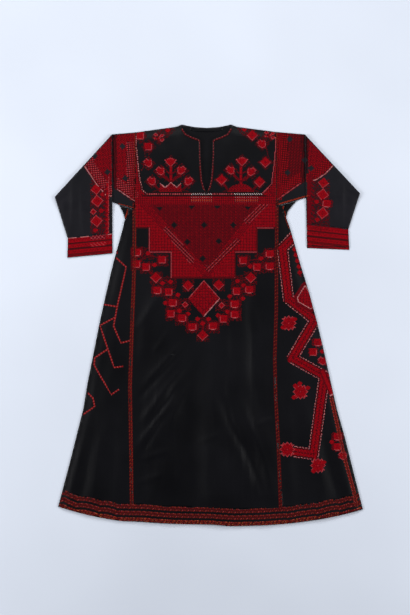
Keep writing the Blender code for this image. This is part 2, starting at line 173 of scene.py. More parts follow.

# %% [markdown]
# ## Where the cloth creases
#
# A dress that was pressed and laid down keeps soft creases: broad swells give the skirt its light and
# dark parts, long creases fan out to the hem, and short ones slant beside the left seam and lie
# across the knees.
# Each is a soft ridge, or a trough where its height is below nought, that runs between two points
# and fades at both ends and to its sides.
# They are set one by one, uneven in length, width and height, because even rows look pressed
# by a machine.

# %% Creases, placed one by one
# each row: from where to where, half its width, and its height, all in mm
CREASE_COLUMNS = ("across", "down", "to_across", "to_down", "half_width", "height")
BODY_CREASES = (
    # broad, soft swells that give the skirt its light and dark parts
    (72, 640, 60, 1330, 78, 4.6),
    (196, 540, 205, 1000, 46, -3.4),
    (200, 1040, 236, 1300, 44, 3.4),
    (-140, 560, -150, 1180, 66, 3.4),
    (-196, 1120, -214, 1320, 36, -2.4),
    (-40, 820, -52, 1340, 34, -1.6),
    # long creases that fan out to the hem
    (-190, 600, -228, 800, 20, 1.6),
    (-84, 900, -112, 1350, 30, -1.8),
    (56, 960, 190, 1236, 17, -3.0),
    (92, 700, 78, 960, 15, -1.4),
    (132, 980, 212, 1200, 13, 1.5),
    (150, 600, 166, 900, 18, -1.6),
    (206, 560, 214, 860, 10, -1.2),
    (0, 1040, 10, 1310, 20, 0.9),
    # short slanting creases beside the left seam, and across the knees
    (-96, 760, -196, 872, 10, 1.5),
    (-110, 802, -222, 930, 9, -1.4),
    (-84, 842, -212, 1000, 12, 2.0),
    (-108, 905, -200, 1036, 9, -1.8),
    (-120, 952, -224, 1084, 10, 1.5),
    (-150, 1010, -214, 1110, 8, -1.2),
    (-60, 900, -120, 1010, 11, 1.0),
    (-214, 1146, -138, 1120, 9, 1.2),
    (178, 1030, 224, 1010, 8, 1.1),
    (-232, 1225, -160, 1200, 11, 1.0),
    (-18, 1086, 44, 1064, 10, 0.7),
    (-166, 590, -232, 690, 12, 1.3),
    (-120, 700, -176, 770, 9, 1.0),
    (196, 600, 226, 690, 10, 1.0),
    # the chest
    (-96, 50, -64, 150, 20, 1.0),
    (-150, 80, -140, 128, 12, 0.7),
    (70, 56, 62, 150, 18, 1.1),
    # the side pieces
    (-286, 480, -330, 900, 22, 1.4),
    (-330, 880, -400, 1280, 34, 1.8),
    (-290, 1010, -306, 1300, 22, 1.1),
    (-362, 1010, -440, 1290, 20, -1.1),
    (-434, 1100, -470, 1290, 16, 0.8),
    (300, 480, 330, 780, 16, 1.1),
    (330, 960, 408, 1290, 32, 1.8),
    (278, 900, 290, 1290, 20, 1.2),
    (372, 1000, 452, 1290, 18, -1.1),
    (442, 1060, 486, 1280, 14, 0.9),
)
SLEEVE_CREASES = (
    (-456, 180, -462, 372, 10, 1.5),
    (-430, 232, -418, 366, 8, 1.2),
    (-492, 262, -474, 372, 7, 1.0),
    (-300, 216, -262, 236, 8, 0.9),
    (466, 178, 462, 340, 10, 1.5),
    (438, 250, 446, 340, 8, 1.1),
    (500, 250, 486, 344, 7, 1.0),
    (384, 120, 402, 250, 10, 0.9),
    (300, 206, 262, 244, 8, 0.9),
)
BACK_CREASES = (
    # the back lies on the floor, so it has a few broad creases, hollow underneath
    (-120, 420, -180, 820, 26, 1.3),
    (-30, 500, -20, 900, 24, 1.0),
    (90, 440, 130, 880, 24, 1.3),
    (-70, 860, -96, 1200, 20, 1.4),
    (40, 900, 60, 1220, 26, 1.2),
    (150, 860, 200, 1180, 18, 1.4),
    (-200, 900, -130, 1010, 12, 1.2),
    (-190, 1010, -110, 1130, 12, 1.0),
    (-310, 620, -370, 1160, 24, 1.5),
    (-290, 1000, -330, 1220, 16, 1.0),
    (310, 620, 360, 1160, 24, 1.5),
    (380, 980, 420, 1220, 18, 1.1),
)
CREASE_STRENGTH = 1.55  # all creases together, so that their depth can be set as one
REACH = 3  # a crease is felt up to this many half widths to its side
PAST_ENDS = 0.25  # and past each end, for this share of its length
ENDS_FROM, ENDS_RISE = 0.6, 2.2  # how high it is at its end points, and how fast it rises there
WANDER, WANDER_STEP = 0.18, 31.0  # it sways by this share of its half width, over about so many mm
LOOSE = 3.6  # the front stands this much looser than the flat cut, so that troughs have room
EDGE_FADE = 30.0  # creases die out this far from the outline
BACK_SHARE = 0.8  # the back rises to at most this share of the front above it
HEM_CALM = 0.55  # the stitched hem is stiffer, so creases reach it at about half their height


def crease_height(across, down, creases):
    total = 0.0
    for x0, d0, x1, d1, half_width, height in creases:
        run_x, run_d = x1 - x0, d1 - d0
        length = math.hypot(run_x, run_d)
        share = ((across - x0) * run_x + (down - d0) * run_d) / length**2
        if -PAST_ENDS < share < 1 + PAST_ENDS:
            side = ((across - x0) * run_d - (down - d0) * run_x) / length
            side += WANDER * half_width * math.sin(down / WANDER_STEP + x0)
            if abs(side) < REACH * half_width:
                ends = min(1.0, max(0.0, ENDS_FROM + ENDS_RISE * min(share, 1 - share)))
                ends = ends * ends * (3 - 2 * ends)
                total += CREASE_STRENGTH * height * ends * math.exp(-((side / half_width) ** 2))
    return total


print("creases:", len(BODY_CREASES), "front,", len(BACK_CREASES), "back,", len(SLEEVE_CREASES), "sleeves")
print("each has", ", ".join(CREASE_COLUMNS))

# %% [markdown]
# ## From the plain solids to cloth
#
# A tailor's pattern pieces keep their outline and only their surface moves.
# So each piece here starts as a copy of its own solid, cut by a fine lattice of planes so that it
# can bend, and the creases lift it: the front well clear of the back, and the back a little off the
# floor, never as high as the front above it.
# Each keeps its 1.2 mm thickness, because both of its faces rise together.

# %% Cloth pieces
LOWEST_LAYER = 1.25 * MM  # cloth up to this height lies on the floor
TOP_LAYERS = 1.95 * MM  # and cloth above this belongs to the front
WELD = 0.01 * MM  # corners closer than this are one
BACK_TOP, BACK_FOOT, BACK_FADE = 300, 1300, 90  # the back creases only between these, in mm down
HEM_LINE, HEM_FADE = 1330, 60  # the hem's stiffness is felt this far above its seam, in mm
CLOTH_PIECES = {
    # name: (lattice in mm, creases, material, record's slot)
    "front_panel": (8, BODY_CREASES, body_satin, "black_cotton"),
    "side_front_left": (8, BODY_CREASES, body_satin, "black_cotton"),
    "side_front_right": (8, BODY_CREASES, body_satin, "black_cotton"),
    "back_panel": (8, BACK_CREASES, body_satin, "black_cotton"),
    "side_back_left": (8, BACK_CREASES, body_satin, "black_cotton"),
    "side_back_right": (8, BACK_CREASES, body_satin, "black_cotton"),
    "gusset_left": (6, None, body_satin, "black_cotton"),
    "gusset_right": (6, None, body_satin, "black_cotton"),
    "hem_band": (8, BODY_CREASES, body_satin, "rust_stitched_band"),
    "sleeve_left": (7, SLEEVE_CREASES, sleeve_satin, "black_cotton"),
    "sleeve_right": (7, SLEEVE_CREASES, sleeve_satin, "black_cotton"),
    "cuff_left": (6, None, sleeve_satin, "red_cross_stitch"),
    "cuff_right": (6, None, sleeve_satin, "red_cross_stitch"),
    "neck_binding": (4, BODY_CREASES, body_satin, "rust_stitched_band"),
    "neck_facing": (6, None, body_satin, "black_cotton"),
}


def lattice_copy(node, step):
    mesh = bmesh.new()
    mesh.from_mesh(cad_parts[node].data)
    bmesh.ops.remove_doubles(mesh, verts=mesh.verts, dist=WELD)
    low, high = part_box(node)
    for axis in (0, 1):
        normal = Vector((1, 0, 0)) if axis == 0 else Vector((0, 1, 0))
        at = math.ceil(low[axis] / (step * MM)) * step * MM
        while at < high[axis]:
            point = Vector((at, 0, 0)) if axis == 0 else Vector((0, at, 0))
            geometry = mesh.verts[:] + mesh.edges[:] + mesh.faces[:]
            bmesh.ops.bisect_plane(mesh, geom=geometry, dist=2 * WELD, plane_co=point, plane_no=normal)
            at += step * MM
    return mesh


copies = {node: lattice_copy(node, row[0]) for node, row in CLOTH_PIECES.items()}
rim = []  # corners where the front comes down to the back, round the outline
for node in ("front_panel", "side_front_left", "side_front_right", "hem_band"):
    rim += [v.co.xy.to_3d() for v in copies[node].verts if LOWEST_LAYER < v.co.z < TOP_LAYERS]
rim_tree = KDTree(len(rim))
for index, point in enumerate(rim):
    rim_tree.insert(point, index)
rim_tree.balance()


def front_lift(point, across, down):
    fade = min(1.0, rim_tree.find(point.xy.to_3d())[2] / (EDGE_FADE * MM))
    calm = HEM_CALM + (1 - HEM_CALM) * min(1.0, max(0.0, (HEM_LINE - down) / HEM_FADE))
    rise = crease_height(across, down, BODY_CREASES)
    return max(0.0, LOOSE + rise * calm) * fade * fade * (3 - 2 * fade)


def lift(creases, point):
    across, down = to_dress(point.x, point.y)
    if creases is BACK_CREASES:
        from_ends = min(1.0, max(0.0, min(down - BACK_TOP, BACK_FOOT - down) / BACK_FADE))
        rise = max(0.0, crease_height(across, down, creases)) * from_ends
        return min(rise, BACK_SHARE * front_lift(point, across, down)) * MM
    if creases is None or point.z <= LOWEST_LAYER:
        return 0.0
    layer = min(1.0, (point.z - LOWEST_LAYER) / (TOP_LAYERS - LOWEST_LAYER))
    if creases is SLEEVE_CREASES:
        return max(0.0, crease_height(across, down, creases)) * layer * MM
    return front_lift(point, across, down) * layer * MM


cloth = {}
for node, (step, creases, material, slot) in CLOTH_PIECES.items():
    mesh = copies[node]
    for vertex in mesh.verts:
        vertex.co.z += lift(creases, vertex.co)
    data = bpy.data.meshes.new(node + "_cloth")
    mesh.to_mesh(data)
    mesh.free()
    data.shade_smooth()
    data.materials.clear()
    data.materials.append(material)
    piece = linked(node + "_cloth", data)
    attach(piece, "root")
    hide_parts(node)
    cloth[node] = piece
print("cloth pieces:", len(cloth), "with", sum(len(p.data.polygons) for p in cloth.values()), "faces")

# %% [markdown]
# ## Counted canvases
#
# Cross stitch is counted on the threads of the cloth: every stitch fills one cell of an even grid.
# So each embroidered region gets a canvas, which is a grid of cells with one letter of thread in
# each, laid on the dress with an origin and a tilt, or bent along a line for a seam or a hem.
# Painting on a canvas is what an embroiderer counts out: fill a shape, draw a line, repeat a border,
# or copy a flower from a chart.
# A net is a ground of small red squares with a paler row in each, and a lattice is one of slanting
# lines that cross.

# %% Threads and canvases
THREADS = {
    # letter: (name, colour as seen in daylight)
    "r": ("crimson", (116, 1, 10)),
    "d": ("dark_red", (80, 2, 10)),
    "m": ("maroon", (58, 5, 9)),
    "n": ("darkest_maroon", (28, 6, 8)),
    "q": ("dusty_rose", (134, 50, 54)),
    "p": ("pale_pink", (150, 94, 92)),
    "o": ("rust_orange", (116, 34, 18)),
    "y": ("mustard", (138, 78, 38)),
    "w": ("undyed_white", (172, 160, 154)),
    "b": ("brown", (52, 19, 15)),
}
LETTERS = "".join(THREADS)
BARE = 0
STITCH = 2.5  # one counted stitch, in mm
DASH_SHARE = 0.6  # the stitched share of each dash
NET_STEP, LATTICE_STEP = 3, 5  # in stitches


def straight(across, down, tilt):
    turn = math.radians(tilt)

    def place(u, v):
        return (
            across + u * math.cos(turn) - v * math.sin(turn),
            down + u * math.sin(turn) + v * math.cos(turn),
        )

    return place


def bent(points, start_side):
    line = np.array(points, float)
    steps = np.hypot(*np.diff(line, axis=0).T)
    run = np.concatenate([[0.0], np.cumsum(steps)])
    heading = np.arctan2(np.diff(line[:, 1]), np.diff(line[:, 0]))
    middles = (run[:-1] + run[1:]) / 2

    def place(u, v):
        x = np.interp(u, run, line[:, 0])
        d = np.interp(u, run, line[:, 1])
        angle = np.interp(u, middles, heading)
        side = v + start_side
        return x - side * np.sin(angle), d + side * np.cos(angle)

    return place, float(run[-1])


def canvas(place, wide, high):
    # u runs along the rows of the canvas and v down its columns; x and d are across and down the dress
    columns, rows = int(wide / STITCH), int(high / STITCH)
    u, v = np.meshgrid((np.arange(columns) + 0.5) * STITCH, (np.arange(rows) + 0.5) * STITCH)
    x, d = place(u, v)
    return {"place": place, "cells": np.zeros((rows, columns), np.int8), "u": u, "v": v, "x": x, "d": d}


def chart_of(text):
    return tuple(text.split())


def everywhere(work):
    return np.ones(work["cells"].shape, bool)


def block(work, left, right, top, foot):
    return (work["x"] > left) & (work["x"] < right) & (work["d"] > top) & (work["d"] < foot)


def counted(*works):
    return sum(int((work["cells"] > 0).sum()) for work in works)


def letter_index(letter):
    return BARE if letter == "k" else LETTERS.index(letter) + 1


def inside(work, corners):
    hit = np.zeros(work["x"].shape, bool)
    for (x0, d0), (x1, d1) in zip(corners, corners[1:] + corners[:1]):
        if d0 == d1:
            continue
        crosses = (work["d"] > d0) != (work["d"] > d1)
        hit ^= crosses & (work["x"] < x0 + (work["d"] - d0) * (x1 - x0) / (d1 - d0))
    return hit


def along_line(work, points):
    nearest = np.full(work["x"].shape, 1e9)
    travelled = np.zeros(work["x"].shape)
    side = np.zeros(work["x"].shape)
    run = 0.0
    for (x0, d0), (x1, d1) in zip(points, points[1:]):
        length = math.hypot(x1 - x0, d1 - d0)
        tx, td = (x1 - x0) / length, (d1 - d0) / length
        t = np.clip((work["x"] - x0) * tx + (work["d"] - d0) * td, 0, length)
        gap_x, gap_d = work["x"] - x0 - t * tx, work["d"] - d0 - t * td
        gap = np.hypot(gap_x, gap_d)
        closer = gap < nearest
        nearest = np.where(closer, gap, nearest)
        travelled = np.where(closer, run + t, travelled)
        side = np.where(closer, gap_x * -td + gap_d * tx, side)
        run += length
    return nearest, travelled, side


def paint(work, where, letter):
    work["cells"][where] = letter_index(letter)


def repeat(work, where, chart):
    rows, columns = len(chart), len(chart[0])
    down, across = np.nonzero(where)
    for i, j in zip(down, across):
        letter = chart[i % rows][j % columns]
        if letter != ".":
            work["cells"][i, j] = letter_index(letter)


def line(work, points, width, letter, dash=None):
    gap, travelled, _side = along_line(work, points)
    where = gap <= width / 2
    if dash:
        where &= (travelled % dash) < dash * DASH_SHARE
    paint(work, where, letter)


def stamp(work, chart, across, down, mirror=False):
    i0, j0 = np.unravel_index(
        np.argmin((work["x"] - across) ** 2 + (work["d"] - down) ** 2), work["x"].shape
    )
    i0, j0 = i0 - len(chart) // 2, j0 - len(chart[0]) // 2
    for i, row in enumerate(chart):
        for j, letter in enumerate(row[::-1] if mirror else row):
            if letter != "." and 0 <= i0 + i < work["cells"].shape[0]:
                if 0 <= j0 + j < work["cells"].shape[1]:
                    work["cells"][i0 + i, j0 + j] = letter_index(letter)


def net(work, where, ground, thread):
    i, j = np.indices(work["cells"].shape)
    paint(work, where, ground)
    paint(work, where & (i % NET_STEP > 0) & (j % NET_STEP > 0), "r")
    paint(work, where & (i % NET_STEP == 1) & (j % NET_STEP > 0), thread)


def lattice(work, where, ground, falling, rising):
    i, j = np.indices(work["cells"].shape)
    paint(work, where, ground)
    paint(work, where & ((i + j) % LATTICE_STEP == 0), rising)
    paint(work, where & ((i - j) % LATTICE_STEP == 0), falling)


print("threads:", ", ".join(name for name, _colour in THREADS.values()))

# %% [markdown]
# ## Charts of the small motifs
#
# The flowers are those counted in villages round Jerusalem and Hebron: tulips and carnations with a
# pale outline on their lower sides, small squares set on a corner, and half diamonds.
# Each is charted here, one letter to a stitch: a dot leaves what is under it, and k takes
# stitches out so that the black cloth shows.
# The last few charts are grounds, which fill a shape by repeating.

# %% Motif charts
def mirrored(text):
    # charted down to the middle row, and the rest counted back up from it
    upper_half = chart_of(text)
    return upper_half + upper_half[-2::-1]


TULIP = chart_of("""
..dd.........dd..
.dddrrrrrrrrrddd.
dd.rrrrrrrrrrr.dd
d..rrrrrrrrrrq..d
.ddrrrrdrdrrrqdd.
dddrrrrrrrrrrqddd
.ddrrrrdrdrrrqdd.
d..rrrrrrrrrrq..d
dd.rrrrrrrrrrq.dd
.ddrqrrrrrrrqqdd.
..d..qqpqpqq..d..
......ddddd......
.....dd...dd.....
""")
FAN = chart_of("""
......ddqdd......
...d.qrqrqrq.d...
..ddqrrrrrrrqdd..
qqrrrrrrrrrrrrrqq
.qrrrrrrrrrrrrrq.
..qrrrrdrrdrrrq..
..qrrrrrrrrrrrq..
...qrrrrdrrrrq...
....qrrrrrrrq....
.....qrrrrrq.....
......qrrrq......
.......qrq.......
........r........
""")
SQUARE_BUD = chart_of("""
d.rrrrrrrrrr.d
ddrrrrrrrrrrdd
.drrrrrrrrrqd.
..rrrdrrdrrq..
.drrrrrrrrrqd.
ddrrrdrrdrrqdd
d.rrrrrrrrrq.d
..rrrrrrrrrq..
..rrrrrrrrrq..
..dqqqqqqqqd..
.dd.......dd..
""")
LEANING_BUD = chart_of("""
....q....dd..
...qrq..ddd..
.dqrrrqqrrq..
.qrrrrrrrrrq.
qrrrdrrrrrrrd
.qrrrrrrrrrq.
.drrrrrdrrrq.
dddrrrrrrrrq.
ddqrdrrrrrrq.
.d.qrrrrrrrr.
....qqrrrqqdd
......qqq.ddd
..........ddd
""")
CORNER_SQUARE = chart_of("""
.......r.......
......rrr......
.....rrrrr.....
....rrrrrrr....
...rrrrrrrrr...
..rrrrrrrrrrr..
.rrrrrrdrrrrrr.
qrrrrrdrdrrrrrq
.qrrrrrdrrrrrq.
..qrrrrrrrrrq..
...qrrrrrrrq...
....qrrrrrq....
.....qrrrq.....
......qrq......
.......q.......
""")
LARGE_DIAMOND = mirrored("""
........q........
.......qrq.......
......qrrrq......
..d..qrrrrrq..d..
.dd.qrrrrrrrq.dd.
dddqrrrrrrrrrqddd
.dqrrrrrdrrrrrqd.
.qrrrrrdrdrrrrrq.
qrrrrrdrrrdrrrrrq
""")
SMALL_BUD = chart_of("""
...r...
.rrrrr.
.rrrrrr
rrrrrrr
.rrrrr.
..rrr..
""")
SMALL_DIAMOND = mirrored("""
....q....
...qrq...
..qrrrq..
.qrrrrrq.
qrrrdrrrq
""")
DARK_DIAMOND = mirrored("""
....k....
...kkk...
..kkkkk..
.kkkkkkk.
kkkkkkkkk
""")
DARK_HALF_DIAMOND = DARK_DIAMOND[len(DARK_DIAMOND) // 2 :]
SPRIG = chart_of("""
..qq...m.......
.qrrq.mdm..mm..
qrrrrqmm.mqrrq.
.qrrrq..mqrrrrq
..qq.d.mmqrrrq.
.m...dd.qrrqq..
mrrm..drrqm....
qrrrmmdrq..mm..
.qrrqdrdmmqrrq.
..mm..dddqrrrrq
....m..ddqrrrq.
.......d..qqq..
""")
LEAVES = chart_of("""
dm....mm....
.mdm.dm..mm.
..mmdm..mdm.
mm.dmm.dm...
mdm.mm..m.md
.m...d.mmdm.
..mm...dmm..
.mdmm.m.mm..
mm.md.mm..dm
....m..md.mm
.md..mmm....
mmdm..dm.mm.
""")
ROSETTE = mirrored("""
..........q..........
.....q...qrq...q.....
....qrq.qrrrq.qrq....
....qrrqrrdrrqrrq....
.qqqqrrrrdrdrrrrqqqq.
..qrrrrrrrdrrrrrrrq..
...qrrrdrrrrrdrrrq...
....rrrrrrrrrrrrr....
..qrrrdrrdrdrrdrrrq..
.qrrdrrrdrrrdrrrdrrq.
qrrdrdrrrrqrrrrdrdrrq
""")
ZIGZAG_LINE = chart_of("""
wnn
nnw
""")
BEADS = chart_of("""
qmm
mrr
mrr
""")
FINE_RED = chart_of("""
rddrrddr
drdmdrdm
ddrmdrdm
rdmdrdmd
drdrddrd
mdrdmrdd
""")
GRID_RED = chart_of("""
rrd
rdd
ddm
""")
STEP_RED = chart_of("""
rrrd
rdrd
rrrd
dddm
""")
DEEP_RED = chart_of("""
dmmn
mdmd
mmdm
drmm
""")
MAROON_GROUND = chart_of("""
ddmddm
dmddmd
rddmdm
mddmdm
""")
print("the rosette is", len(ROSETTE), "stitches across")

# %% [markdown]
# ## The front: a black yoke over a stepped chest square
#
# The chest is the part that an embroiderer spends months on.
# Under the neck slit lies a black yoke with two flowering plants.
# Below it a maroon triangle points down, and crimson steps go down on both of its sides.
# Flowers and a big diamond hang below the steps to the waist.
# The order of work is ground first, then borders, then flowers on top.

# %% The chest canvas
chest = canvas(straight(-262.0, -6.0, 0.0), 520, 760)
YOKE = [
    (-242, -10), (-242, 29), (-240, 81), (-231, 170), (-228, 190), (-219, 226), (-204, 239),
    (190, 239), (223, 204), (235, 108), (238, 29), (238, -10),
]
STEPS = [
    (-246, 236), (-246, 356), (-196, 356), (-196, 437), (-120, 437), (-120, 525), (98, 525),
    (98, 437), (173, 437), (173, 355), (241, 355), (241, 236),
]
APEX = (0, 518)
LEFT_SLOPE, RIGHT_SLOPE = 1.13, 1.25
YOKE_FOOT = 240  # how far down the yoke ends
FINE, FINEST = 2.6, 2.4  # widths of lines one stitch wide
ONE_ROW = 1.3  # half the width of a level row of one stitch
TRIANGLE = [(-250, APEX[1] - 250 * LEFT_SLOPE), APEX, (222, APEX[1] - 222 * RIGHT_SLOPE)]
shoulders = [(-262, -6), (262, -6), (262, 260), (-262, 260)]
repeat(chest, inside(chest, shoulders) & ~inside(chest, YOKE), GRID_RED)
repeat(chest, inside(chest, STEPS) & ~inside(chest, YOKE), STEP_RED)
repeat(chest, inside(chest, TRIANGLE) & (chest["d"] > YOKE_FOOT), MAROON_GROUND)
# fine red lines run beside the triangle's two slanting edges
for start, lean in ((TRIANGLE[0], 1), (TRIANGLE[2], -1)):
    line(chest, [start, APEX], 24, "d")
    for offset in (-11, -5, 1, 7, 13):
        shifted = [(x + lean * offset * 0.75, d - offset * 0.66) for x, d in (start, APEX)]
        line(chest, shifted, FINE, "r", dash=6)
for start, end, falling, rising in (
    ((-135, 362), (-52, 466), "q", "r"),
    ((218, 258), (139, 330), "r", "q"),
    ((104, 402), (6, 494), "r", "q"),
):
    lattice(chest, along_line(chest, [start, end])[0] < 11, "m", falling, rising)

# a level band crosses below the yoke, with pale beads in two places
band = (chest["d"] > 245) & (chest["d"] < 275) & inside(chest, STEPS)
repeat(chest, band, GRID_RED)
for down in (246, 274):
    line(chest, [(-222, down), (206, down)], 2.2, "n")
for start, end in ((-52, 20), (98, 176)):
    beads = block(chest, start, end, 247, 268)
    repeat(chest, beads, BEADS)
    pale = beads & ((chest["x"] // STITCH).astype(int) % 3 == 0)
    paint(chest, pale & (np.abs(chest["d"] - 251) < ONE_ROW), "p")
    paint(chest, pale & (np.abs(chest["d"] - 261) < ONE_ROW), "y")
# black diamonds are left bare in the maroon ground
for across, down in ((-160, 290), (-50, 286), (36, 286), (142, 287)):
    stamp(chest, DARK_HALF_DIAMOND, across, down)
for across, down in ((-110, 346), (-9, 345), (91, 346), (-65, 403), (42, 401), (-13, 460)):
    stamp(chest, DARK_DIAMOND, across, down)

# the yoke's border: a dark ground, a brown line, and rose and pale dashes on it
line(chest, YOKE, 7.6, "n")
line(chest, YOKE, FINE, "b")
line(chest, YOKE, FINE, "q", dash=8)
line(chest, YOKE[:7], FINE, "p", dash=8)
line(chest, YOKE[7:], FINE, "q")
for start, end in ((-52, 20), (92, 192)):
    repeat(chest, block(chest, start, end, 236, 241), ZIGZAG_LINE)
print("chest ground:", counted(chest), "stitches")

# %% [markdown]
# ## Plants on the yoke
#
# On each side of the neck slit a plant grows from a red mound: one flower on its stem and two pairs
# on bent arms.
# Loose sprigs fill the shoulders beside it.
# The two sides are never quite alike, because each was counted afresh.

# %% Yoke plants
MOUNDS = (
    [(-163, 232), (-158, 203), (-142, 217), (-122, 200), (-102, 216), (-88, 203), (-84, 232)],
    [(70, 232), (78, 220), (92, 209), (118, 203), (140, 208), (154, 218), (164, 232)],
)
YOKE_ARMS = (
    [(-122, 140), (-122, 204)], [(-156, 172), (-136, 188), (-124, 196)],
    [(-88, 172), (-108, 188), (-120, 196)], [(-180, 206), (-165, 222)], [(-64, 206), (-80, 224)],
    [(118, 138), (118, 206)], [(88, 168), (104, 186), (116, 192)], [(150, 174), (134, 188), (120, 194)],
    [(58, 204), (72, 222)], [(174, 210), (160, 224)],
)
STEMS = LEFT_STEM, RIGHT_STEM = -122, 118
LEAF_REACH = 27  # leaves fill a diamond of this half width round each flower
LOOSE_SPRIGS = (
    [(-214, 60), (-206, 150)], [(-176, 52), (-192, 70)], [(206, 84), (214, 120)],
    [(172, 48), (186, 60)], [(-216, 148), (-224, 158)],
)
for arm in YOKE_ARMS:
    line(chest, arm, 7.5, "d")
for stem in STEMS:
    line(chest, [(stem, 150), (stem, 206)], 7.0, "r")
    for lean in (-1, 1):
        line(chest, [(stem, 172), (stem + lean * 12, 163)], 4.0, "d")
        line(chest, [(stem, 196), (stem + lean * 16, 180)], 5.0, "d")
        line(chest, [(stem + lean * 22, 196), (stem + lean * 12, 186)], 3.0, "m")
        line(chest, [(stem + lean * 52, 212), (stem + lean * 40, 226), (stem + lean * 60, 230)], 3.0, "m")
YOKE_FLOWERS = (
    (FAN, -122, 131), (LEANING_BUD, -157, 161), (LEANING_BUD, -86, 159), (LEANING_BUD, -187, 196),
    (LEANING_BUD, -61, 196), (FAN, 122, 129), (LEANING_BUD, 83, 157), (LEANING_BUD, 155, 163),
    (CORNER_SQUARE, 52, 191), (CORNER_SQUARE, 181, 199), (LEANING_BUD, -200, 134),
    (SQUARE_BUD, -198, 79), (SPRIG, -163, 46), (SQUARE_BUD, -226, 41), (SMALL_BUD, -134, 21),
    (CORNER_SQUARE, 202, 131), (LEANING_BUD, 190, 67), (CORNER_SQUARE, 157, 38), (SMALL_BUD, 130, 18),
    (SPRIG, 216, 38),
)
for _chart, across, down in YOKE_FLOWERS:
    near = np.abs(chest["x"] - across) + np.abs(chest["d"] - down) < LEAF_REACH
    repeat(chest, near & (chest["cells"] == 0) & inside(chest, YOKE), LEAVES)
for chart, across, down in YOKE_FLOWERS:
    stem = LEFT_STEM if across < 0 else RIGHT_STEM
    stamp(chest, chart, across, down, mirror=across > stem and down > 100)
for sprig in LOOSE_SPRIGS:
    line(chest, sprig, FINE, "d", dash=8)
for mound in MOUNDS:
    repeat(chest, inside(chest, mound), FINE_RED)
line(chest, MOUNDS[0][1:6], FINEST, "p")
print("yoke flowers:", len(YOKE_FLOWERS))

# %% [markdown]
# ## Steps, flowers and the waist diamond
#
# A pale line edges the steps, and below it each flower hangs on a short dark stem among dark leaves.
# They follow two slanting rows that meet at the waist, round one large diamond that two dark lines
# cross.

# %% Below the steps
OUTLINES = (
    [(-238, 354), (-196, 354), (-196, 437), (-120, 437), (-120, 525), (98, 525), (98, 437)],
    [(98, 437), (173, 437), (173, 355), (229, 355)],
)
BARE_CORNER = [(-234, 358), (-200, 358), (-200, 411), (-234, 411)]
paint(chest, inside(chest, BARE_CORNER), "k")
for outline in OUTLINES:
    line(chest, outline, 7.0, "m")
    line(chest, outline, FINEST, "q")
line(chest, [(-117, 525), (95, 525)], FINE, "d")
DIAMOND = [(-9, 536), (45, 597), (-9, 658), (-62, 597)]
INNER = [(-9, 556), (27, 597), (-9, 638), (-45, 597)]
repeat(chest, inside(chest, DIAMOND), STEP_RED)
for ring in (DIAMOND, INNER):
    line(chest, ring + ring[:1], 3.0, "d")
line(chest, [(-36, 576), (18, 618)], FINEST, "d")
line(chest, [(18, 576), (-36, 618)], FINEST, "d")
line(chest, [(-62, 597), (-9, 536), (45, 597)], FINEST, "q")
line(chest, [(45, 597), (-9, 658)], FINEST, "p")
BUD_REACH = 22  # half the side of the square of leaves round each hanging flower
LONGEST_STEM = 62
FILLING_BUDS = (
    (-178, 482), (-150, 545), (-98, 586), (-140, 612), (-92, 640), (-62, 650), (-30, 668),
    (150, 488), (126, 552), (80, 590), (124, 597), (72, 642), (40, 656), (8, 668),
)
HANGING_FLOWERS = (
    (TULIP, -238, 441), (SQUARE_BUD, -238, 480), (SMALL_BUD, -201, 443), (SQUARE_BUD, -151, 465),
    (SQUARE_BUD, -206, 490), (CORNER_SQUARE, -172, 526), (SMALL_BUD, -124, 540), (CORNER_SQUARE, -63, 553),
    (TULIP, -168, 570), (SQUARE_BUD, -128, 576), (TULIP, -115, 612), (SMALL_DIAMOND, -74, 618),
    (SQUARE_BUD, -120, 651), (TULIP, -84, 666), (TULIP, -49, 695), (SMALL_BUD, -12, 684),
    (CORNER_SQUARE, -12, 722), (TULIP, 217, 446), (SMALL_BUD, 188, 461), (SQUARE_BUD, 128, 468),
    (SQUARE_BUD, 175, 490), (TULIP, 217, 488), (CORNER_SQUARE, 151, 526), (SMALL_BUD, 108, 538),
    (CORNER_SQUARE, 42, 550), (TULIP, 147, 567), (SQUARE_BUD, 105, 573), (SMALL_DIAMOND, 52, 620),
    (TULIP, 98, 619), (TULIP, 98, 653), (SQUARE_BUD, 59, 668), (TULIP, 23, 694),
)
for (_c, x0, d0), (_e, x1, d1) in zip(HANGING_FLOWERS, HANGING_FLOWERS[1:]):
    if x0 * x1 > 0 and math.hypot(x1 - x0, d1 - d0) < LONGEST_STEM:
        line(chest, [(x0, d0), (x1, d1)], 2.8, "d")
for _chart, across, down in HANGING_FLOWERS:
    near = np.maximum(np.abs(chest["x"] - across), np.abs(chest["d"] - down)) < BUD_REACH
    repeat(chest, near & (chest["cells"] == 0) & ~inside(chest, DIAMOND), LEAVES)
for across, down in FILLING_BUDS:
    stamp(chest, SMALL_BUD, across, down)
for chart, across, down in HANGING_FLOWERS:
    stamp(chest, chart, across, down, mirror=across > 0)
print("hanging flowers:", len(HANGING_FLOWERS))

# %% [markdown]
# ## Sleeves: red shoulders, folded down at the elbow
#
# Each sleeve is red from the shoulder to a slanting pale line, and black below it with a column of
# small motifs down to the cuff.
# The outer part is folded down at the elbow, so its stitches lie at another tilt than those of the
# part near the shoulder: it has a canvas of its own.

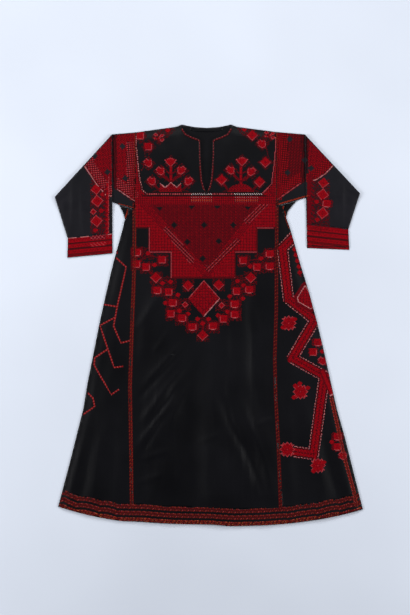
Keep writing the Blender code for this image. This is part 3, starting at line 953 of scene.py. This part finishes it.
# %% Shoulder parts of the sleeves
NET_HALF = 14.0  # half the width of the net above the slanting line
EDGE_GROUND = 7.0  # dark ground under the slanting line
# a chart of painted shade for the stitches beside the elbow fold
FOLD_SHADE = ("mnm", "nmd")
left_shoulder = canvas(straight(-334, 20, -4.8), 90, 270)
right_shoulder = canvas(straight(238, 0, 4.9), 120, 270)
left_red = [(-340, 0), (-240, 0), (-240, 268), (-327, 208), (-340, 200)]
right_red = [(236, 0), (360, 0), (360, 176), (348, 184), (241, 262)]
repeat(left_shoulder, inside(left_shoulder, left_red), FINE_RED)
repeat(right_shoulder, inside(right_shoulder, right_red), DEEP_RED)
for work, edge, upper in (
    (left_shoulder, [(-334, 203), (-246, 263)], [(-334, 180), (-246, 240)]),
    (right_shoulder, [(241, 259), (352, 181)], [(241, 236), (352, 158)]),
):
    net(work, along_line(work, upper)[0] < NET_HALF, "m", "r" if work is right_shoulder else "q")
    line(work, edge, EDGE_GROUND, "m")
    line(work, edge, FINE, "q" if work is right_shoulder else "p")
for work, first, last, top, bottom, thread in (
    (left_shoulder, -274, -242, 60, 214, "q"), (right_shoulder, 247, 279, 20, 206, "r"),
):
    net(work, block(work, first, last, top, bottom), "n", thread)
# painted shade: stitches beside each elbow fold are darkened, darkest right at the fold, where the folded
# part shades the shoulder part
for work, near_fold, at_fold in (
    (left_shoulder, left_shoulder["x"] < -308, left_shoulder["x"] < -318),
    (right_shoulder, right_shoulder["x"] > 324, right_shoulder["x"] > 334),
):
    repeat(work, near_fold & (work["cells"] > 0), FOLD_SHADE)
    paint(work, at_fold & (work["cells"] > 0), "n")
for work, across, down in (
    (left_shoulder, -288, 76), (left_shoulder, -278, 184),
    (right_shoulder, 286, 50), (right_shoulder, 279, 165), (right_shoulder, 337, 122),
):
    stamp(work, DARK_DIAMOND, across, down)
print("shoulder stitches:", counted(left_shoulder, right_shoulder))

# %% [markdown]
# ## The folded parts
#
# Here the red goes on over the fold to the slanting line, which goes on too at the folded tilt.
# Below it large and small diamonds stand in a column among leaves, and a red border runs down the
# inner edge to the cuff.

# %% Folded parts of the sleeves
left_fold = canvas(straight(-560, 60, -6.0), 240, 400)
right_fold = canvas(straight(352, 10, 7.0), 220, 380)
LEFT_ELBOW, RIGHT_ELBOW = -324, 340  # the inner edges of the folded parts
HATCH_STEP = 15  # between the short slanting marks beside the borders
left_bound = [(-414, 128), (-419, 141), (-379, 202), (-345, 242), (-324, 246)]
right_bound = [(444, 122), (438, 136), (409, 168), (376, 190), (352, 196)]
for work, bound, roof in (
    (left_fold, left_bound, [(-324, 0), (-460, 100)]),
    (right_fold, right_bound, [(341, 0), (470, 100)]),
):
    repeat(work, inside(work, bound + roof), FINE_RED)
    shift = 17 if work is left_fold else -17
    upper = [(x + shift, d - 11) for x, d in bound]
    net(work, along_line(work, upper)[0] < NET_HALF, "m", "r" if work is right_fold else "q")
    line(work, bound, EDGE_GROUND, "m")
    line(work, bound, FINE, "p")
    paint(work, (work["x"] > LEFT_ELBOW) & (work["x"] < RIGHT_ELBOW), "k")
for across, down in ((-382, 107), (-340, 165)):
    stamp(left_fold, DARK_DIAMOND, across, down)
stamp(right_fold, DARK_DIAMOND, 358, 150)
for work, first, last in ((left_fold, -398, -332), (right_fold, 358, 422)):
    repeat(work, block(work, first, last, 190, 376) & (work["cells"] == 0), LEAVES)
for work, chart, across, down in (
    (left_fold, CORNER_SQUARE, -378, 222), (left_fold, LARGE_DIAMOND, -374, 262),
    (left_fold, SMALL_DIAMOND, -388, 300), (left_fold, LARGE_DIAMOND, -377, 332),
    (left_fold, SMALL_BUD, -356, 242), (left_fold, SMALL_BUD, -360, 296),
    (left_fold, SMALL_BUD, -382, 364),
    (right_fold, CORNER_SQUARE, 400, 200), (right_fold, LARGE_DIAMOND, 398, 240),
    (right_fold, TULIP, 412, 273), (right_fold, LARGE_DIAMOND, 397, 304),
    (right_fold, SMALL_BUD, 376, 266), (right_fold, SMALL_BUD, 380, 326),
):
    stamp(work, chart, across, down, mirror=across > 0)
line(left_fold, [(-339, 207), (-342, 384)], 9.0, "r")
for down in range(214, 380, HATCH_STEP):
    line(left_fold, [(-342, down), (-350, down + 6)], 6.0, "d")
line(left_fold, [(-335, 180), (-336, 384)], 2.2, "q", dash=6)
line(right_fold, [(352, 176), (352, 344)], 14.0, "d")
for down in range(178, 340, HATCH_STEP):
    line(right_fold, [(360, down), (368, down + 6)], 6.0, "d")
print("folded sleeve stitches:", counted(left_fold, right_fold))

# %% [markdown]
# ## Cuffs: stiff red rows
#
# The cuffs are stiff with stitches: red rows with dark lines between them, and on the left cuff a
# short pale lattice over two of the rows.
# Their rows run square to the folded sleeve.

# %% Cuffs
CUFF_ROWS = chart_of("""
pppppppp
rrrrrrrr
rrrdrrrd
rrdrdrdr
rdrrrdrr
rrrrrrrr
rrrrrrrr
mmmmmmmm
mmkmmmkm
rrrrrrrr
rdrrrdrr
rrdrdrrr
rrrdrrrd
rrrrrrrr
mmmmmmmm
mkmmmkmm
mmmmmmmm
rrrrrrrr
rrrdrrrd
rrdrdrdr
rdrrrdrr
rrrrrrrr
mmmmmmmm
mrmrmrmr
mmmmmmmm
rrrrrrrr
rdrrrdrr
rrrrrrrr
dddddddd
rdrrrdrr
dddddddd
""")
left_cuff = canvas(straight(-490, 391, -5.6), 180, 70)
right_cuff = canvas(straight(340, 343, 6.2), 160, 77.5)
for work in (left_cuff, right_cuff):
    repeat(work, everywhere(work), CUFF_ROWS)
PALE_MIDDLE, PALE_HALF = -371, 26
pale = np.abs(left_cuff["x"] - PALE_MIDDLE) < PALE_HALF
lattice(left_cuff, pale & (left_cuff["v"] < 15), "d", "q", "q")
lattice(left_cuff, pale & (np.abs(left_cuff["v"] - 32) < 6), "r", "q", "r")
paint(right_cuff, right_cuff["v"] < STITCH, "d")
print("cuff stitches:", counted(left_cuff, right_cuff))

# %% [markdown]
# ## Seams, side pieces and hem
#
# The long seams are covered by a narrow border of dark red and brown with a darker middle, and the
# armhole and gusset seams by rust stitches.
# The left side piece has thin branching lines in rust and rose.
# Each of these has a canvas that is bent along its line.

# %% Borders bent along their lines
SEAM_BORDER = chart_of("""
dmobd
obbod
mnmnb
dbobb
mdbom
""")
DARK_SEAM_BORDER = chart_of("""
mdmbm
bobbd
nmnmn
dbobm
mmbdm
""")
SIDE_BORDER = chart_of("""
obqod
bodbo
mbmbm
dobod
oqbbo
""")
SLIT_BORDER = chart_of("""
mdmb
bqbd
mbmd
""")
THIN_BORDER = chart_of("""
roqd
drqo
""")
RUST_BORDER = chart_of("""
oobo
booo
""")
ZIGZAG_BORDER = mirrored("""
pnqp
nnnn
mdmm
rrrd
rrdr
rdrr
drrd
mddm
""")
SLIT = [
    (85, 14), (72, 34), (50, 45), (28, 53), (24, 62), (23.5, 105), (21, 149), (17, 193), (10, 219),
    (2, 236),
]
LINES = (
    # (name, chart, points)
    ("left_seam", SEAM_BORDER, [
        (-247, 268), (-247, 470), (-250, 560), (-257, 746), (-262, 900), (-260, 1014),
        (-258, 1150), (-256, 1316),
    ]),
    ("right_seam", DARK_SEAM_BORDER, [
        (241, 262), (240, 470), (239, 636), (234, 800), (237, 930), (246, 1100), (254, 1316),
    ]),
    ("slit_left", SLIT_BORDER, [(-x, d) for x, d in SLIT]),
    ("slit_right", SLIT_BORDER, SLIT),
    ("left_armhole", RUST_BORDER, [(-246, 30), (-247, 262)]),
    ("right_armhole", RUST_BORDER, [(241, 20), (241, 262)]),
    ("left_underarm", RUST_BORDER, [(-302, 273), (-246, 288)]),
    ("right_underarm", RUST_BORDER, [(241, 275), (352, 243)]),
    ("left_gusset", RUST_BORDER, [(-268, 288), (-279, 324)]),
    ("right_gusset", RUST_BORDER, [(262, 281), (275, 330), (284, 356)]),
    ("left_line_1", THIN_BORDER, [
        (-310, 457), (-275, 489), (-306, 625), (-318, 691), (-293, 749), (-262, 741),
    ]),
    ("left_line_2", THIN_BORDER, [(-352, 617), (-306, 625)]),
    ("left_line_3", THIN_BORDER, [(-310, 660), (-365, 689), (-338, 770), (-316, 833), (-285, 829)]),
    ("left_line_4", THIN_BORDER, [(-338, 770), (-383, 800), (-385, 825), (-326, 926), (-300, 908)]),
    ("left_line_5", THIN_BORDER, [(-407, 920), (-389, 938), (-383, 966), (-423, 995)]),
    ("right_side_seam", SIDE_BORDER, [(427, 935), (450, 1038), (471, 1137), (504, 1254), (514, 1310)]),
)
borders = {}
for name, chart, points in LINES:
    wide = len(chart) * STITCH
    place, length = bent(points, -wide / 2)
    borders[name] = canvas(place, length, wide)
    repeat(borders[name], everywhere(borders[name]), chart)
print("borders:", len(borders))

# %% [markdown]
# ## The right side piece: a zigzag band
#
# A broad red band runs down in zigzags, with pale edges and a dark line along its middle.
# Beside it are rosettes, a red triangle with a pale edge, and small flowers in its bends.

# %% The zigzag band of the right side piece
ZIGZAG = [
    (318, 366), (260, 425), (281, 598), (372, 670), (294, 801), (404, 862), (366, 1130), (306, 1122),
]
right_side = canvas(straight(243, 340, 0.0), 280, 880)
gap, travelled, side = along_line(right_side, ZIGZAG)
BAND_HALF = len(ZIGZAG_BORDER) * STITCH / 2
rows = ((side + BAND_HALF) // STITCH).astype(int)
columns = (travelled // STITCH).astype(int)
for i, j in zip(*np.nonzero(gap < BAND_HALF)):
    row = ZIGZAG_BORDER[min(len(ZIGZAG_BORDER) - 1, max(0, rows[i, j]))]
    right_side["cells"][i, j] = letter_index(row[columns[i, j] % len(row)])
SIDE_TRIANGLE = [(338, 552), (311, 594), (315, 608), (357, 632), (378, 622)]
line(right_side, SIDE_TRIANGLE, 24, "d")
line(right_side, SIDE_TRIANGLE, 5, "m")
repeat(right_side, inside(right_side, SIDE_TRIANGLE), STEP_RED)
line(right_side, SIDE_TRIANGLE + SIDE_TRIANGLE[:1], FINE, "p")
line(right_side, [(300, 420), (322, 520)], 6.0, "d")
for across, down in ((303, 430), (307, 450), (311, 470), (316, 490), (320, 510)):
    stamp(right_side, SMALL_BUD, across, down)
    line(right_side, [(across - 8, down + 6), (across + 8, down + 6)], FINEST, "n")
SIDE_BRANCH = [(398, 848), (412, 880), (430, 922)]
line(right_side, SIDE_BRANCH, 22, "d")
line(right_side, SIDE_BRANCH, 10, "r")
line(right_side, [(424, 930), (444, 916)], 4, "p")
for across, down in ((281, 682), (323, 917), (381, 1168), (277, 1113)):
    stamp(right_side, ROSETTE, across, down)
for chart, across, down in (
    (TULIP, 381, 748), (SQUARE_BUD, 366, 781), (LEANING_BUD, 398, 811), (SMALL_BUD, 396, 778),
    (TULIP, 449, 1071), (TULIP, 450, 1106), (LEANING_BUD, 468, 1136), (SMALL_BUD, 430, 1088),
    (SMALL_BUD, 304, 897), (SMALL_BUD, 320, 889), (SMALL_BUD, 347, 903), (SMALL_BUD, 300, 936),
    (SMALL_BUD, 262, 696), (SMALL_BUD, 301, 668), (SMALL_BUD, 402, 1158), (SMALL_BUD, 366, 1190),
):
    stamp(right_side, chart, across, down)
print("right side stitches:", counted(right_side))

# %% [markdown]
# ## The hem
#
# Round the hem run three stitched rows in brown and dark red, each six stitches deep, with bare cloth
# between them.
# Their line is found from the hem band's own solid, every 20 mm across, and a few orange and mustard
# stitches brighten the lowest row.

# %% The hem rows
HEM_DEPTH = 62
FLECKS_TOP, FLECKS_FOOT, FLECKS_END = 44, 60, 900  # where the bright stitches are, in mm
HEM_ROWS = chart_of("""
bobqbobb
dbmdbobd
mbmdmbmm
bmbmbbmb
dbobbdbq
bmbdbmob
kkkkkkkk
kkkkkkkk
kkkkkkkk
""")
hem_points = [to_dress(v.co.x, v.co.y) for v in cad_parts["hem_band"].data.vertices]
HEM_TOP = []
for across in range(-500, 521, 20):
    HEM_TOP.append((across, min(down for x, down in hem_points if abs(x - across) < 18)))
HEM_TOP = [(-530, HEM_TOP[0][1] - 10)] + HEM_TOP + [(545, HEM_TOP[-1][1] - 8)]
print("hem seam from", HEM_TOP[1], "to", HEM_TOP[-2])
place, length = bent(HEM_TOP, -1.0)
hem = canvas(place, length, HEM_DEPTH)
repeat(hem, everywhere(hem), HEM_ROWS)
i, j = np.indices(hem["cells"].shape)
flecks = (hem["v"] > FLECKS_TOP) & (hem["v"] < FLECKS_FOOT) & ((i * 7 + j * 3) % 11 < 2)
paint(hem, flecks & (hem["u"] < FLECKS_END), "o")
paint(hem, flecks & (j % 4 == 0), "y")
print("hem stitches:", counted(hem))

# %% [markdown]
# ## Working the stitches
#
# One cross stitch is two short threads that cross, so it stands highest where they cross, a little
# lower at its four corners, and lowest in the middle of its sides.
# Each stitch here is four small faces round its middle, laid on the cloth right under it.
# A stitch that would hang over an edge or a step between layers is left out, because a needle could
# not reach there.
# A slight unevenness in each stitch breaks up the rows, as a hand does.
# The chest is sewn as three pieces, so that none grows too heavy.

# %% Sew the canvases
RELIEF = {"middle": 0.52, "corner": 0.30, "side": 0.06}  # heights above the cloth, in mm
STEP_LIMIT = 1.1  # more than this between two spots of one stitch is an edge or a step
NEEDLE_START = 0.05  # above all cloth, in metres
LEAST_PULL, MOST_PULL = 0.86, 1.12
CHEST_LEFT, CHEST_RIGHT, FAR = -82, 78, 999
# the eight spots round a stitch and its middle, in half stitches down and across
SIDES = ((0, 0), (0, 1), (0, 2), (1, 2), (2, 2), (2, 1), (2, 0), (1, 0), (1, 1))


def thread_material(name, colour):
    material, shader = new_material("thread_" + name, roughness=0.55, sheen=0.0, shine=0.03)
    dark = (colour[0] * 0.84, colour[1] * 0.8, colour[2] * 0.95)
    light = (min(255, colour[0] * 1.12), min(255, colour[1] * 1.1), colour[2] * 1.05)
    mottled(material, shader, dark, light, scale=240.0, detail=2.0)
    return material


thread_materials = [thread_material(*thread) for thread in THREADS.values()]


def tree_of(pieces):
    points, faces = [], []
    for piece in pieces:
        first = len(points)
        points += [v.co.copy() for v in piece.data.vertices]
        faces += [[first + i for i in p.vertices] for p in piece.data.polygons]
    return BVHTree.FromPolygons(points, faces)


dress_tree = tree_of([cloth[n] for n in CLOTH_PIECES if not n.startswith(("back", "side_back"))])
DOWN = Vector((0, 0, -1))


def sew(name, works):
    points, faces, letters = [], [], []
    left_out = 0
    for work in works:
        rows, columns = np.nonzero(work["cells"])
        corner = {}
        for i, j in zip(rows.tolist(), columns.tolist()):
            spots = []
            for di, dj in SIDES:
                key = (2 * i + di, 2 * j + dj)
                if key not in corner:
                    x, y = to_frame(*work["place"](key[1] * STITCH / 2, key[0] * STITCH / 2))
                    above = Vector((float(x), float(y), NEEDLE_START))
                    corner[key] = dress_tree.ray_cast(above, DOWN)[0]
                spots.append(corner[key])
            if None in spots:
                left_out += 1
                continue
            heights = [spot.z for spot in spots]
            if max(heights) - min(heights) > STEP_LIMIT * MM:
                left_out += 1
                continue
            first = len(points)
            pull = random.uniform(LEAST_PULL, MOST_PULL)
            for k, spot in enumerate(spots):
                kind = "middle" if k == 8 else ("corner" if k % 2 == 0 else "side")
                points.append((spot.x, spot.y, spot.z + RELIEF[kind] * pull * MM))
            for a in (0, 2, 4, 6):
                faces.append((first + (a - 1) % 8, first + 8, first + a + 1, first + a))
            letters += [int(work["cells"][i, j]) - 1] * 4
    data = bpy.data.meshes.new(name)
    data.from_pydata(points, [], faces)
    for material in thread_materials:
        data.materials.append(material)
    data.polygons.foreach_set("material_index", letters)
    data.shade_flat()
    piece = linked(name, data)
    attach(piece, "root")
    print(name, "stitches:", len(faces) // 4, "left out:", left_out)
    return piece


def part_of(work, low, high):
    share = dict(work)
    share["cells"] = np.where((work["x"] >= low) & (work["x"] < high), work["cells"], 0)
    return share


SEWN = {
    "chest_stitches_left": [part_of(chest, -FAR, CHEST_LEFT)],
    "chest_stitches_middle": [part_of(chest, CHEST_LEFT, CHEST_RIGHT)],
    "chest_stitches_right": [part_of(chest, CHEST_RIGHT, FAR)],
    "left_sleeve_stitches": [left_shoulder, left_fold],
    "right_sleeve_stitches": [right_shoulder, right_fold],
    "left_cuff_stitches": [left_cuff],
    "right_cuff_stitches": [right_cuff],
    "right_side_stitches": [right_side],
    "border_stitches": borders.values(),
    "hem_stitches": [hem],
}
embroidery = {
    name: sew(name, works)
    for name, works in SEWN.items()
}
print("all stitches:", sum(len(p.data.polygons) for p in embroidery.values()) // 4)

# %% [markdown]
# ## What was cut flat
#
# Every piece of cloth was cut flat before it was sewn.
# The body pieces are laid one on another, and the sleeves and cuffs are folded.

# %% [markdown]
# ## The floor, the light and the view
#
# The dress is seen from straight above on a pale, slightly blue floor.
# One large soft light stands beyond the neck, so that creases throw soft shades towards the hem, and
# a smaller one fills from each side.

# %% Floor, lights and camera
FLOOR_DROP = 0.5  # in mm, so that the floor and the back don't share a surface
FLOOR_HALF = 6
floor_data = bpy.data.meshes.new("floor")
floor_corners = [(x * FLOOR_HALF, y * FLOOR_HALF, 0) for x, y in ((-1, -1), (1, -1), (1, 1), (-1, 1))]
floor_data.from_pydata(floor_corners, [], [(0, 1, 2, 3)])
floor = linked("floor", floor_data)
floor.location.z = -FLOOR_DROP * MM
floor_material, floor_shader = new_material("pale_floor", roughness=0.85, sheen=0.0)
mottled(floor_material, floor_shader, (188, 194, 205), (194, 200, 211), scale=1.5, detail=2.0)
floor_data.materials.append(floor_material)


def area_light(name, place, aim, size, power):
    light = bpy.data.lights.new(name, "AREA")
    light.shape = "RECTANGLE"
    light.size, light.size_y = size
    light.energy = power
    holder = linked(name, light)
    holder.location = place
    holder.rotation_mode = "QUATERNION"
    holder.rotation_quaternion = (Vector(aim) - Vector(place)).to_track_quat("-Z", "Y")


DRESS_MIDDLE = (0, -0.1, 0)
area_light("big_soft_light", (-0.2, 3.1, 2.5), DRESS_MIDDLE, (3.6, 1.6), 128.0)
area_light("left_fill", (-3.3, -0.2, 1.8), DRESS_MIDDLE, (2.0, 1.2), 136.0)
area_light("right_fill", (3.3, -0.3, 1.9), DRESS_MIDDLE, (2.0, 1.2), 124.0)
world = bpy.data.worlds.new("studio")
world.use_nodes = True
world.node_tree.nodes["Background"].inputs["Color"].default_value = (0.85, 0.9, 1.0, 1.0)
world.node_tree.nodes["Background"].inputs["Strength"].default_value = 0.12
bpy.context.scene.world = world
bpy.context.scene.view_settings.view_transform = "Standard"

VIEW_CENTRE = (-0.0133, 0.0607)
VIEW_HEIGHT = 2.109
CAMERA_UP = 6.0
SENSOR = 36.0
camera_data = bpy.data.cameras.new("camera")
camera = linked("camera", camera_data)
camera.location = (*VIEW_CENTRE, CAMERA_UP)
camera_data.sensor_fit = "VERTICAL"
camera_data.sensor_height = SENSOR
camera_data.sensor_width = SENSOR
camera_data.lens = SENSOR * CAMERA_UP / VIEW_HEIGHT
bpy.context.scene.camera = camera
print("camera", CAMERA_UP, "m up with a", round(camera_data.lens), "mm lens")
